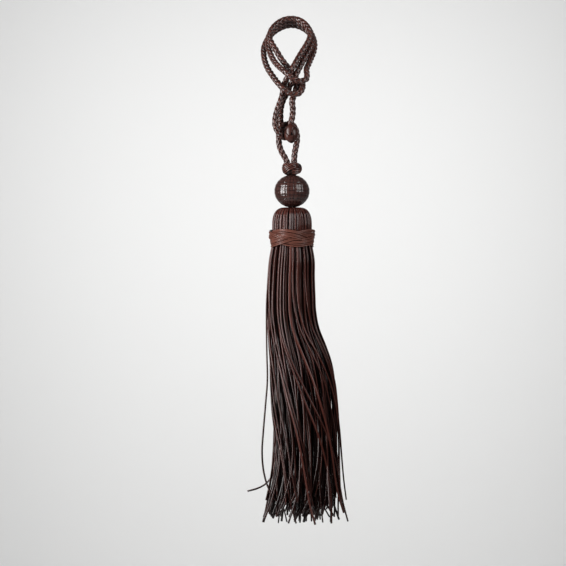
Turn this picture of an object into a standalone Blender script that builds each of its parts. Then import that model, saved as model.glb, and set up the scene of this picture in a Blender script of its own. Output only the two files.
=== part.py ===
"""Leather tassel tie-back: a braided tie cord with its button, the tassel's eye, crown knot,
woven ball, ribbed head with hanging laces, and the plaited band round the head.

Lengths are in millimetres up to the point where a shape is built, which is in metres.
X is to the right, Y away from the viewer and Z up. The origin is the middle of the tie's loop.
"""

import math
import random

import bmesh
import bpy
from mathutils import Vector

MM = 0.001

# Whole tassel
TASSEL_X = 2.0
TASSEL_Y = -20.0

# Braided cord of the tie and of the eye
CORD_DIAMETER = 6.0
TIE_STEP = 13.0
EYE_STEP = 8.0
LEAST_STEP = 4.0
TURN_PER_STEP = math.radians(27)

# Button over the joined ends of the tie
BUTTON_CENTRE = (1.0, -31.0, -79.2)
BUTTON_HALF = (6.4, 6.2, 9.6)
BUTTON_BIGHTS = 4
BUTTON_RELIEF = 0.9
BUTTON_STEPS = (28, 11)

# Crown knot on the ball
CROWN_CENTRE = (1.5, TASSEL_Y, -113.1)
CROWN_HALF = (10.3, 10.3, 5.9)
CROWN_BIGHTS = 5
CROWN_RELIEF = 1.5
CROWN_STEPS = (36, 10)

# Share of a knot's quarter turn, and of the band's half height, that the plait's strands take
KNOT_PLAIT_REACH = 1.35
KNOT_STRAND_WIDTH = 0.5
BAND_PLAIT_REACH = 1.25
BAND_STRAND_WIDTH = 0.62

# Woven ball
BALL_CENTRE = (TASSEL_X, TASSEL_Y, -136.2)
BALL_HALF = (18.0, 18.0, 16.7)
BALL_STRIPS = 24
BALL_ROWS = 11
BALL_RELIEF = 0.45

# Head under the ball, where the laces are gathered
HEAD_TOP = -153.4
HEAD_BOTTOM = -196.0
HEAD_RIBS = 42
RIB_RELIEF = 0.45
RIB_RUN_IN = 5.0

# Plaited band round the head
BAND_RADIUS = 23.4
BAND_THICKNESS = 2.7
BAND_TOP = -174.0
BAND_BOTTOM = -193.0
BAND_BIGHTS = 7
BAND_RELIEF = 0.9
BAND_STEPS = 56
BAND_SECTION = 12

# Hanging laces
LACE_HALF = 1.25
LACE_ROOT = -191.5
LACE_JOINTS = 11
LACE_THIN_ROOT = 0.86
TWIST_POWER = 2.0
SWING_POWER = 9.0

# Route of the tie, from the button up, three times round the cloth, and back to the button.
# Columns: x, y, z.
TIE_ROUTE = (
    # up from the button, behind the front turns
    (0.9, -22.0, -68.0),
    (2.4, -19.6, -62.0),
    (2.9, -18.0, -54.0),
    (2.5, -16.8, -46.0),
    (4.6, -15.2, -38.6),
    (8.9, -13.9, -32.4),
    # curl to the front
    (12.3, -16.9, -28.9),
    (12.8, -22.8, -30.8),
    (12.0, -27.4, -35.2),
    (8.6, -30.6, -39.3),
    # outer turn, up on the left
    (3.4, -31.4, -40.2),
    (-1.6, -31.4, -38.2),
    (-6.6, -31.6, -34.6),
    (-12.1, -28.4, -28.5),
    (-16.8, -22.0, -21.8),
    (-21.6, -15.5, -14.0),
    (-24.8, -9.0, -6.0),
    (-26.3, -2.5, 2.0),
    (-26.2, 3.3, 9.8),
    (-23.8, 8.6, 17.0),
    (-19.2, 13.0, 23.8),
    # first pass at the back
    (-12.5, 16.6, 29.6),
    (-4.0, 18.8, 33.6),
    (4.5, 19.0, 34.2),
    (12.5, 16.8, 31.4),
    (19.0, 12.6, 26.3),
    # outer strand, down on the right
    (23.4, 7.0, 20.6),
    (24.9, 0.8, 13.4),
    (23.9, -6.2, 4.8),
    (20.9, -13.7, -3.2),
    (18.4, -20.6, -9.6),
    (16.4, -25.2, -15.0),
    (16.9, -30.0, -20.4),
    # hook into the middle turn
    (16.0, -33.8, -25.4),
    (11.0, -36.0, -27.6),
    (5.0, -37.0, -26.2),
    (-0.4, -37.6, -22.6),
    (-5.6, -34.9, -17.6),
    (-10.9, -27.4, -12.4),
    (-15.6, -20.6, -6.4),
    (-19.2, -13.8, 1.0),
    (-21.6, -7.2, 9.0),
    (-22.2, -0.6, 16.6),
    (-20.0, 5.4, 24.2),
    # second pass at the back
    (-14.0, 10.0, 31.0),
    (-5.5, 12.6, 35.8),
    (4.0, 12.8, 36.8),
    (12.6, 10.4, 34.0),
    (19.2, 5.2, 28.2),
    # middle strand, down on the right and on to the left leg
    (22.6, -1.8, 20.6),
    (22.0, -8.6, 12.4),
    (19.3, -13.8, 4.8),
    (14.8, -19.0, -3.0),
    (10.9, -24.0, -10.6),
    (7.2, -27.6, -18.0),
    (4.2, -28.4, -25.0),
    (-0.2, -23.4, -31.0),
    (-2.3, -17.2, -36.8),
    (-6.8, -16.8, -45.0),
    (-9.2, -15.2, -54.0),
    (-9.4, -12.9, -63.0),
    (-8.9, -12.5, -70.0),
    # bight round the eye
    (-6.2, -13.4, -75.6),
    (-4.3, -17.0, -80.0),
    (-4.3, -22.2, -82.8),
    (-8.6, -27.6, -81.8),
    (-12.2, -28.0, -77.2),
    # up the left leg again
    (-14.6, -28.2, -71.0),
    (-14.6, -27.9, -64.0),
    (-13.0, -27.0, -56.5),
    (-10.0, -25.6, -48.0),
    (-7.6, -23.8, -40.0),
    (-6.7, -24.2, -32.0),
    # inner strand, up on the right
    (-3.6, -28.2, -25.0),
    (-0.2, -30.3, -18.6),
    (3.9, -29.2, -11.6),
    (7.8, -25.5, -4.4),
    (12.4, -20.6, 3.6),
    (17.0, -16.2, 11.4),
    (20.0, -12.0, 18.2),
    (20.2, -6.4, 25.0),
    (16.6, -0.6, 32.0),
    # third pass at the back
    (10.5, 4.4, 37.4),
    (2.5, 6.6, 39.6),
    (-6.0, 6.2, 38.4),
    (-13.6, 2.8, 33.6),
    (-19.0, -2.4, 26.4),
    # inner turn, down on the left and back to the button
    (-20.4, -8.0, 18.6),
    (-17.6, -13.2, 11.3),
    (-14.0, -17.0, 5.2),
    (-8.9, -20.0, -3.6),
    (-4.0, -21.2, -10.2),
    (1.0, -21.8, -16.0),
    (4.8, -21.0, -22.6),
    (6.4, -20.8, -30.6),
    (4.9, -23.4, -38.0),
    (2.0, -24.2, -46.0),
    (2.8, -25.2, -54.0),
    (2.4, -26.8, -61.6),
    (1.3, -28.6, -67.4),
)

# Route of the eye, from the crown knot round the neck of the button and back.
EYE_ROUTE = (
    (-3.2, -20.0, -106.5),
    (-4.8, -20.0, -103.0),
    (-7.2, -20.0, -99.0),
    (-9.3, -20.1, -94.5),
    (-10.7, -20.4, -89.5),
    (-11.1, -20.6, -84.3),
    (-10.7, -20.5, -79.0),
    (-9.2, -20.3, -74.0),
    (-5.4, -18.6, -70.0),
    (-0.6, -15.1, -68.4),
    (3.4, -15.6, -70.4),
    (5.9, -16.6, -75.0),
    (7.0, -17.2, -80.5),
    (6.9, -17.6, -86.0),
    (6.0, -18.4, -91.5),
    (4.9, -19.3, -97.0),
    (4.3, -20.0, -102.5),
    (4.1, -20.0, -106.6),
)

# Profile of the head, from its top to its underside. Columns: radius, z.
HEAD_PROFILE = (
    (0.0, HEAD_TOP),
    (11.5, HEAD_TOP - 0.5),
    (16.8, HEAD_TOP - 4.3),
    (19.6, HEAD_TOP - 10.0),
    (20.3, HEAD_TOP - 18.0),
    (20.0, HEAD_TOP - 28.0),
    (19.8, HEAD_BOTTOM + 0.8),
    (0.0, HEAD_BOTTOM),
)

# Outline of the skirt of laces. Columns: z, centre x, centre y, half width, half depth.
SKIRT_OUTLINE = (
    (-191.5, 2.0, -20.0, 19.3, 19.3),
    (-196.5, 2.0, -20.0, 20.0, 20.0),
    (-203.0, 2.0, -20.0, 21.0, 20.6),
    (-220.0, 1.6, -20.0, 22.6, 21.6),
    (-245.0, 1.6, -20.5, 25.0, 22.6),
    (-270.0, 3.4, -20.5, 26.8, 23.4),
    (-295.0, 7.0, -20.5, 29.6, 24.4),
    (-325.0, 11.0, -20.5, 33.0, 25.6),
    (-350.0, 14.0, -21.0, 34.0, 26.6),
    (-375.0, 16.5, -21.0, 33.0, 27.0),
    (-400.0, 18.5, -21.0, 32.0, 27.0),
    (-425.0, 19.5, -21.0, 31.5, 27.0),
    (-468.0, 18.5, -21.0, 35.0, 28.0),
)

# Rings of laces inside the skirt. Columns: share of the half width, count, twist in degrees.
LACE_RINGS = (
    (0.745, 26, 62.0),
    (0.60, 21, 18.0),
    (0.455, 14, -26.0),
    (0.305, 9, 34.0),
    (0.15, 4, 0.0),
)
RING_LONGEST = -468.0
RING_SHORTEST = -430.0

# Loose outer laces, in two layers. Columns: share of the half width, angle at the root and
# at the tip in degrees, z of the tip, and how far the tip swings past the skirt's outline.
LOOSE_LACES = (
    (1.0, -150.0, -138.0, -452.0, 6.0),
    (1.0, -128.0, -84.0, -466.0, 0.0),
    (1.0, -108.0, -58.0, -462.0, 0.0),
    (1.0, -86.0, -32.0, -466.0, 2.0),
    (1.0, -64.0, -12.0, -465.5, 8.0),
    (1.0, -42.0, 10.0, -457.5, 16.0),
    (1.0, -16.0, 31.0, -465.0, 6.0),
    (1.0, 12.0, 52.0, -452.0, 0.0),
    (1.0, 42.0, 78.0, -462.0, 0.0),
    (1.0, 72.0, 98.0, -450.0, 0.0),
    (1.0, 102.0, 118.0, -461.0, 0.0),
    (1.0, 126.0, 126.0, -455.0, 0.0),
    (1.0, 148.0, 138.0, -462.0, 0.0),
    (0.875, -164.0, -170.0, -456.0, 14.0),
    (0.875, -141.0, -152.0, -467.0, 9.0),
    (0.875, -119.0, -124.0, -450.0, 0.0),
    (0.875, -97.0, -108.0, -465.0, 0.0),
    (0.875, -75.0, -86.0, -468.0, 0.0),
    (0.875, -53.0, -50.0, -460.0, 0.0),
    (0.875, -31.0, -30.0, -465.0, 2.0),
    (0.875, -8.0, -6.0, -454.0, 2.0),
    (0.875, 16.0, 20.0, -463.0, 0.0),
    (0.875, 40.0, 44.0, -449.0, 0.0),
    (0.875, 64.0, 72.0, -460.0, 0.0),
    (0.875, 88.0, 96.0, -466.0, 0.0),
    (0.875, 112.0, 120.0, -452.0, 0.0),
    (0.875, 136.0, 142.0, -464.0, 0.0),
    (0.875, 160.0, 164.0, -458.0, 0.0),
)

# Two stray laces on the left. Columns: x, y, z.
STRAY_LACES = (
    (
        (-16.6, -24.0, LACE_ROOT),
        (-17.4, -24.0, -199.0),
        (-20.4, -24.0, -215.0),
        (-23.2, -24.0, -245.0),
        (-23.2, -24.0, -295.0),
        (-22.6, -24.5, -325.0),
        (-24.4, -25.0, -349.0),
        (-26.4, -25.0, -373.0),
        (-27.9, -25.0, -397.0),
        (-26.3, -25.5, -416.0),
        (-22.5, -28.0, -430.0),
        (-16.7, -31.0, -441.0),
        (-12.0, -32.5, -446.0),
    ),
    (
        (-16.0, -14.5, LACE_ROOT),
        (-16.8, -14.5, -199.0),
        (-20.0, -14.5, -215.0),
        (-22.6, -14.5, -245.0),
        (-20.6, -13.5, -285.0),
        (-17.0, -11.5, -325.0),
        (-14.5, -11.5, -357.0),
        (-13.5, -11.5, -386.0),
        (-15.0, -12.0, -406.0),
        (-18.5, -13.0, -422.0),
        (-24.4, -14.0, -429.5),
        (-33.0, -15.0, -434.0),
        (-42.6, -16.0, -436.5),
    ),
)


def leather(name, colour, roughness):
    """One leather finish."""
    material = bpy.data.materials.new(name)
    material.use_nodes = True
    shader = material.node_tree.nodes["Principled BSDF"]
    shader.inputs["Base Color"].default_value = (*colour, 1.0)
    shader.inputs["Roughness"].default_value = roughness
    shader.inputs["Metallic"].default_value = 0.0
    return material


def add_piece(name, data, material, collection):
    """One object of the tassel, linked into its collection."""
    data.materials.clear()
    data.materials.append(material)
    piece = bpy.data.objects.new(name, data)
    collection.objects.link(piece)
    return piece


def smooth_point(before, start, end, after, share):
    """A point on the centripetal Catmull-Rom curve between start and end."""
    t1 = math.sqrt((start - before).length)
    t2 = t1 + math.sqrt((end - start).length)
    t3 = t2 + math.sqrt((after - end).length)
    t = t1 + (t2 - t1) * share
    a = before.lerp(start, t / t1)
    b = start.lerp(end, (t - t1) / (t2 - t1))
    c = end.lerp(after, (t - t2) / (t3 - t2))
    d = a.lerp(b, t / t2)
    e = b.lerp(c, (t - t1) / (t3 - t1))
    return d.lerp(e, (t - t1) / (t2 - t1))


def smooth_route(route, steps=12):
    """The smooth curve through the route's points, as closely spaced points."""
    points = [Vector(point) for point in route]
    points.insert(0, 2 * points[0] - points[1])
    points.append(2 * points[-1] - points[-2])
    curve = []
    for i in range(1, len(points) - 2):
        for step in range(steps):
            curve.append(smooth_point(*points[i - 1 : i + 3], step / steps))
    curve.append(points[-2])
    return curve


def spaced_points(curve, straight_step):
    """Points of the curve that stand closer together where it turns more."""
    chosen = [curve[0]]
    travelled = 0.0
    turned = 0.0
    for before, point, after in zip(curve, curve[1:], curve[2:]):
        travelled += (point - before).length
        turned += (point - before).angle(after - point)
        if travelled >= straight_step or (turned >= TURN_PER_STEP and travelled >= LEAST_STEP):
            chosen.append(point)
            travelled = 0.0
            turned = 0.0
    if (curve[-1] - chosen[-1]).length < LEAST_STEP:
        chosen.pop()
    chosen.append(curve[-1])
    return chosen


def curve_data(name, paths, radius, resolution, root_share=1.0):
    """A curve of straight-sided tubes with closed ends, one for each path.

    root_share is the thickness of a tube's first two points, as a share of the rest.
    """
    data = bpy.data.curves.new(name, "CURVE")
    data.dimensions = "3D"
    data.bevel_depth = radius * MM
    data.bevel_resolution = resolution
    data.use_fill_caps = True
    for path in paths:
        spline = data.splines.new("POLY")
        spline.points.add(len(path) - 1)
        for spline_point, point in zip(spline.points, path):
            spline_point.co = (*(Vector(point) * MM), 1.0)
        for spline_point in spline.points[:2]:
            spline_point.radius = root_share
    return data


def plait_height(angle, across, bights, strand_width):
    """Height, from 0 to 1, of a three-strand plait closed into a ring."""
    height = 0.0
    for strand in range(3):
        phase = bights * angle / 3 + strand * math.tau / 3
        away = abs(across - math.sin(phase)) / strand_width
        if away < 1.0:
            crest = 0.7 + 0.3 * math.sin(2 * phase)
            height = max(height, crest * math.sqrt(1 - away * away))
    return height


def plaited_knot(name, centre, half, bights, relief, steps):
    """A round knot with a three-strand plait raised round it."""
    mesh = bpy.data.meshes.new(name)
    shape = bmesh.new()
    bmesh.ops.create_uvsphere(shape, u_segments=steps[0], v_segments=steps[1], radius=1.0)
    for vertex in shape.verts:
        angle = math.atan2(vertex.co.y, vertex.co.x)
        latitude = math.asin(max(-1.0, min(1.0, vertex.co.z)))
        across = KNOT_PLAIT_REACH * latitude / (math.pi / 2)
        raised = plait_height(angle, across, bights, KNOT_STRAND_WIDTH) - 1.0
        body = Vector((vertex.co.x * half[0], vertex.co.y * half[1], vertex.co.z * half[2]))
        vertex.co = (Vector(centre) + body + relief * raised * body.normalized()) * MM
    shape.to_mesh(mesh)
    shape.free()
    return mesh


def woven_ball():
    """The ball, with a basket weave raised in its points."""
    mesh = bpy.data.meshes.new("ball")
    shape = bmesh.new()
    bmesh.ops.create_uvsphere(
        shape, u_segments=2 * BALL_STRIPS, v_segments=2 * BALL_ROWS, radius=1.0
    )
    for vertex in shape.verts:
        angle = math.atan2(vertex.co.y, vertex.co.x)
        latitude = math.asin(max(-1.0, min(1.0, vertex.co.z)))
        weave = math.sin(angle * BALL_STRIPS / 2) * math.cos(latitude * BALL_ROWS)
        grow = 1.0 + BALL_RELIEF * (weave - 1.0) / BALL_HALF[0]
        body = Vector([vertex.co[i] * BALL_HALF[i] for i in range(3)])
        vertex.co = (Vector(BALL_CENTRE) + grow * body) * MM
    shape.to_mesh(mesh)
    shape.free()
    return mesh


def ribbed_head(collection):
    """The head: a turned profile with a rib for each lace folded over it."""
    data = bpy.data.meshes.new("head profile")
    points = [(radius * MM, 0.0, z * MM) for radius, z in HEAD_PROFILE]
    data.from_pydata(points, [(i, i + 1) for i in range(len(points) - 1)], [])
    head = bpy.data.objects.new("head", data)
    collection.objects.link(head)
    turn = head.modifiers.new("turn", "SCREW")
    turn.steps = 2 * HEAD_RIBS
    turn.render_steps = 2 * HEAD_RIBS
    turn.use_merge_vertices = True
    turn.merge_threshold = 0.0001
    turn.use_normal_calculate = True
    head.data = applied_mesh(head)
    head.modifiers.clear()
    for vertex in head.data.vertices:
        radius = math.hypot(vertex.co.x, vertex.co.y)
        angle = math.atan2(vertex.co.y, vertex.co.x)
        if radius > MM and vertex.co.z > (BAND_TOP - RIB_RUN_IN) * MM:
            grow = 1.0 + RIB_RELIEF * MM * (math.cos(HEAD_RIBS * angle) - 1.0) / radius
            vertex.co.x *= grow
            vertex.co.y *= grow
        vertex.co.x += TASSEL_X * MM
        vertex.co.y += TASSEL_Y * MM
    face_outwards(head.data)
    return head


def applied_mesh(obj):
    """The object's shape as a mesh, with its modifiers applied and its points merged."""
    bpy.context.view_layer.update()
    graph = bpy.context.evaluated_depsgraph_get()
    mesh = bpy.data.meshes.new_from_object(obj.evaluated_get(graph))
    shape = bmesh.new()
    shape.from_mesh(mesh)
    bmesh.ops.remove_doubles(shape, verts=shape.verts, dist=0.00001)
    shape.to_mesh(mesh)
    shape.free()
    return mesh


def face_outwards(mesh):
    """Turn every face of a closed mesh outwards."""
    shape = bmesh.new()
    shape.from_mesh(mesh)
    bmesh.ops.recalc_face_normals(shape, faces=shape.faces)
    shape.to_mesh(mesh)
    shape.free()


def plaited_band():
    """The band: a ring with rounded edges and a three-strand plait raised on its outside."""
    mesh = bpy.data.meshes.new("neck_band")
    shape = bmesh.new()
    middle = BAND_RADIUS - BAND_THICKNESS / 2
    centre_z = (BAND_TOP + BAND_BOTTOM) / 2
    half_height = (BAND_TOP - BAND_BOTTOM) / 2
    rings = []
    for step in range(BAND_STEPS):
        angle = math.tau * step / BAND_STEPS
        ring = []
        for corner in range(BAND_SECTION):
            turn = math.tau * (corner + 0.5) / BAND_SECTION
            side = math.copysign(abs(math.cos(turn)) ** 0.35, math.cos(turn))
            rise = math.copysign(abs(math.sin(turn)) ** 0.9, math.sin(turn))
            radius = middle + side * BAND_THICKNESS / 2
            if side > 0:
                across = BAND_PLAIT_REACH * rise
                raised = plait_height(angle, across, BAND_BIGHTS, BAND_STRAND_WIDTH) - 1.0
                radius += BAND_RELIEF * raised
            place = Vector((
                TASSEL_X + radius * math.cos(angle),
                TASSEL_Y + radius * math.sin(angle),
                centre_z + rise * half_height,
            ))
            ring.append(shape.verts.new(place * MM))
        rings.append(ring)
    for ring, following in zip(rings, rings[1:] + rings[:1]):
        for corner in range(BAND_SECTION):
            nearby = (corner + 1) % BAND_SECTION
            shape.faces.new((ring[corner], following[corner], following[nearby], ring[nearby]))
    bmesh.ops.recalc_face_normals(shape, faces=shape.faces)
    shape.to_mesh(mesh)
    shape.free()
    return mesh


def outline_at(z):
    """Centre and half sizes of the skirt at this height."""
    for upper, lower in zip(SKIRT_OUTLINE, SKIRT_OUTLINE[1:]):
        if z >= lower[0]:
            share = (upper[0] - z) / (upper[0] - lower[0])
            return [a + (b - a) * share for a, b in zip(upper[1:], lower[1:])]
    return list(SKIRT_OUTLINE[-1][1:])


def lace_path(ring_share, start_angle, end_angle, tip_z, sway, swing=0.0):
    """Middle line of one lace. sway is its own sideways wander, from -1 to 1, at each joint."""
    path = []
    for joint in range(LACE_JOINTS):
        share = joint / (LACE_JOINTS - 1)
        z = LACE_ROOT + (tip_z - LACE_ROOT) * (0.45 * share + 0.55 * share**0.8)
        if joint == 1:
            z = HEAD_BOTTOM - 3.0
        drop = (LACE_ROOT - z) / (LACE_ROOT - RING_LONGEST)
        centre_x, centre_y, half_x, half_y = outline_at(z)
        angle = math.radians(start_angle + (end_angle - start_angle) * drop**TWIST_POWER)
        angle += sway[joint] * drop / (ring_share * half_x)
        reach = ring_share + swing * drop**SWING_POWER / half_x
        path.append((
            centre_x + (half_x - LACE_HALF) * reach * math.cos(angle),
            centre_y + (half_y - LACE_HALF) * reach * math.sin(angle),
            z,
        ))
    return path


def lace_paths():
    """Middle lines of all the laces."""
    chance = random.Random(11)
    paths = []
    for ring_share, count, twist in LACE_RINGS:
        for number in range(count):
            start = 360.0 * number / count + 7.0 * ring_share
            tip_z = chance.uniform(RING_LONGEST, RING_SHORTEST)
            spare = math.tau * 29.0 * ring_share / count - 2 * LACE_HALF - 0.4
            sway = smooth_sway(chance, 0.42 * spare)
            paths.append(lace_path(ring_share, start, start + twist, tip_z, sway))
    for ring_share, start, end, tip_z, swing in LOOSE_LACES:
        sway = smooth_sway(chance, 1.6)
        paths.append(lace_path(ring_share, start, end, tip_z, sway, swing))
    paths.extend(list(path) for path in STRAY_LACES)
    return paths


def smooth_sway(chance, most):
    """A gentle wander in millimetres for each joint of a lace, zero at its root."""
    first = chance.uniform(0.0, math.tau)
    pace = chance.uniform(0.35, 0.75)
    size = chance.uniform(0.3, 1.0) * most
    return [size * math.sin(first + pace * joint) for joint in range(LACE_JOINTS)]


def skirt_of_laces(collection, cutters):
    """The head with its laces, their roots joined into its underside."""
    head = ribbed_head(collection)
    laces_curve = bpy.data.objects.new(
        "laces curve", curve_data("laces", lace_paths(), LACE_HALF, 0, LACE_THIN_ROOT)
    )
    cutters.objects.link(laces_curve)
    laces_mesh = applied_mesh(laces_curve)
    face_outwards(laces_mesh)
    bpy.data.objects.remove(laces_curve)
    laces = bpy.data.objects.new("laces", laces_mesh)
    laces.hide_render = True
    laces.display_type = "WIRE"
    cutters.objects.link(laces)
    join = head.modifiers.new("join laces", "BOOLEAN")
    join.operation = "UNION"
    join.solver = "EXACT"
    join.object = laces
    joined = applied_mesh(head)
    bpy.data.objects.remove(head)
    bpy.data.objects.remove(laces)
    return joined


def build():
    """Clear the scene and build the tassel."""
    for obj in list(bpy.data.objects):
        bpy.data.objects.remove(obj)

    tassel = bpy.data.collections.new("leather_tassel")
    cutters = bpy.data.collections.new("cutters")
    cutters.hide_render = True
    for collection in (tassel, cutters):
        bpy.context.scene.collection.children.link(collection)

    braid = leather("braided leather", (0.085, 0.032, 0.024), 0.38)
    smooth = leather("smooth leather", (0.10, 0.036, 0.027), 0.35)
    woven = leather("woven leather", (0.055, 0.020, 0.018), 0.30)
    plait = leather("plaited leather", (0.11, 0.042, 0.032), 0.42)
    lace = leather("lace leather", (0.050, 0.022, 0.018), 0.40)

    radius = CORD_DIAMETER / 2
    tie = spaced_points(smooth_route(TIE_ROUTE), TIE_STEP)
    eye = spaced_points(smooth_route(EYE_ROUTE), EYE_STEP)
    add_piece("tie_cord", curve_data("tie_cord", [tie], radius, 2), braid, tassel)
    add_piece("eye_cord", curve_data("eye_cord", [eye], radius, 2), braid, tassel)

    button = plaited_knot(
        "button_knot", BUTTON_CENTRE, BUTTON_HALF, BUTTON_BIGHTS, BUTTON_RELIEF, BUTTON_STEPS
    )
    add_piece("button_knot", button, smooth, tassel)
    crown = plaited_knot(
        "crown_knot", CROWN_CENTRE, CROWN_HALF, CROWN_BIGHTS, CROWN_RELIEF, CROWN_STEPS
    )
    add_piece("crown_knot", crown, braid, tassel)
    add_piece("ball", woven_ball(), woven, tassel)
    add_piece("skirt", skirt_of_laces(tassel, cutters), lace, tassel)
    add_piece("neck_band", plaited_band(), plait, tassel)


build()
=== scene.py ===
"""Looks of the leather tassel tie-back: braided cords, knots, woven ball, band and laces."""

import math
import random

import bmesh
import bpy
import numpy as np
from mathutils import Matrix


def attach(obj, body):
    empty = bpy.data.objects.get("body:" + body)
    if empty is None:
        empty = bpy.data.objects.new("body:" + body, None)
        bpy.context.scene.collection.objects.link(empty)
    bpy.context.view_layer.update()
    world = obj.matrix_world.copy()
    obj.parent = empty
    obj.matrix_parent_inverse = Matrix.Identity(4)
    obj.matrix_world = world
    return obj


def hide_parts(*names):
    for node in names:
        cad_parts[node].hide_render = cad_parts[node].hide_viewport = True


MM = 0.001
BODY = "root"

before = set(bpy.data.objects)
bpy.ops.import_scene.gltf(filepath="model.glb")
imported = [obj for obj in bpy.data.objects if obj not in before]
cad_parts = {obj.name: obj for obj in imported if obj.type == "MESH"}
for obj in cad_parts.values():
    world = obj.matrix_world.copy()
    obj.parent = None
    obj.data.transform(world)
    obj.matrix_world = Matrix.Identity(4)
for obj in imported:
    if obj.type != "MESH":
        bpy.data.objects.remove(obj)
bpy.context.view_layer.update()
bpy.ops.object.select_all(action="DESELECT")


# Camera and lights, in metres

PICTURE_HEIGHT = 566 * MM
VIEW_CENTRE = (-7.0 * MM, -20.0 * MM, -228.0 * MM)
CAMERA_DISTANCE = 2.2
SENSOR = 36.0

PALE = (0.80, 0.80, 0.795, 1.0)
SHEET_SIZE = 14.0
FLOOR_PLACE = (0.0, 0.0, -1.3)
BACKDROP_PLACE = (0.0, 5.0, 2.0)
SKY = (0.90, 0.91, 0.92, 1.0)
SKY_STRENGTH = 0.10
LIT_POINT = (0.0, -0.02, -0.16)

# Soft lights. Columns: name, place, point that it faces, width, height, watts.
WINDOWS = (
    ("left window", (-0.96, -0.53, 0.0), LIT_POINT, 0.45, 1.05, 21.0),
    ("right window", (0.86, -0.72, 0.31), LIT_POINT, 0.75, 0.9, 9.0),
    ("backdrop light", (0.0, 3.4, 0.2), (0.0, 5.0, -0.2), 2.4, 1.8, 37.0),
)


def add_camera():
    """A long lens, level with the middle of the picture and square to the tassel."""
    bpy.ops.object.camera_add(
        location=(VIEW_CENTRE[0], VIEW_CENTRE[1] - CAMERA_DISTANCE, VIEW_CENTRE[2]),
        rotation=(math.radians(90), 0, 0),
    )
    camera = bpy.context.object
    camera.data.sensor_width = SENSOR
    camera.data.lens = SENSOR * CAMERA_DISTANCE / PICTURE_HEIGHT
    bpy.context.scene.camera = camera


def add_window(name, place, aim, width, height, power):
    """A soft light as wide and high as a window, turned towards a point."""
    bpy.ops.object.light_add(type="AREA", location=place)
    lamp = bpy.context.object
    lamp.name = name
    lamp.data.shape = "RECTANGLE"
    lamp.data.size = width
    lamp.data.size_y = height
    lamp.data.energy = power
    direction = [a - p for a, p in zip(aim, place)]
    lamp.rotation_euler = (
        math.atan2(math.hypot(direction[0], direction[1]), -direction[2]),
        0.0,
        math.atan2(-direction[0], direction[1]),
    )


def pale_paper():
    """Matt finish of the floor and the backdrop."""
    material = bpy.data.materials.new("pale paper")
    material.use_nodes = True
    shader = material.node_tree.nodes["Principled BSDF"]
    shader.inputs["Base Color"].default_value = PALE
    shader.inputs["Roughness"].default_value = 0.9
    return material


def add_sheet(name, place, tilt, material):
    """A large flat sheet of the stage."""
    bpy.ops.mesh.primitive_plane_add(
        size=SHEET_SIZE, location=place, rotation=(math.radians(tilt), 0, 0)
    )
    sheet = bpy.context.object
    sheet.name = name
    sheet.data.materials.append(material)


def add_stage():
    """A pale floor well below the tassel, a pale backdrop far behind it and soft lights."""
    paper = pale_paper()
    add_sheet("floor", FLOOR_PLACE, 0, paper)
    add_sheet("backdrop", BACKDROP_PLACE, 90, paper)
    world = bpy.data.worlds.new("studio")
    world.use_nodes = True
    sky = world.node_tree.nodes["Background"]
    sky.inputs["Color"].default_value = SKY
    sky.inputs["Strength"].default_value = SKY_STRENGTH
    bpy.context.scene.world = world
    bpy.context.scene.view_settings.view_transform = "Standard"
    for window in WINDOWS:
        add_window(*window)


add_camera()
add_stage()


# Leather finishes
#
# The shares say how much streaks, tint and clouds add to the colour, and the spans where it and
# the roughness run from one end to the other.

COAT_ROUGHNESS = 0.14
STREAK_SCALE = 900.0
CLOUD_SCALE = 70.0
PORE_SCALE = 2600.0
STREAK_SHARE = 0.45
TINT_SHARE = 0.55
CLOUD_SHARE = 0.3
COLOUR_SPAN = (0.18, 0.95)
CREASE_SHADE = 0.10
STREAK_SPAN = (0.3, 0.7)
PORE_DEPTH = 0.25
GRAIN_STRENGTH = 0.6


def add_node(tree, kind, values):
    """A node of this kind with these input values."""
    node = tree.nodes.new(kind)
    for socket, value in values.items():
        node.inputs[socket].default_value = value
    return node


def add_attribute(tree, name):
    """A node that reads one of the attributes that the strips carry."""
    node = tree.nodes.new("ShaderNodeAttribute")
    node.attribute_name = name
    return node


def times_plus(tree, taken, factor, added=None):
    """The output of one node times a factor, and the output of another added to it."""
    node = add_node(tree, "ShaderNodeMath", {1: factor, 2: 0.0})
    node.operation = "MULTIPLY_ADD"
    tree.links.new(taken, node.inputs[0])
    if added is not None:
        tree.links.new(added, node.inputs[2])
    return node.outputs["Value"]


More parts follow.
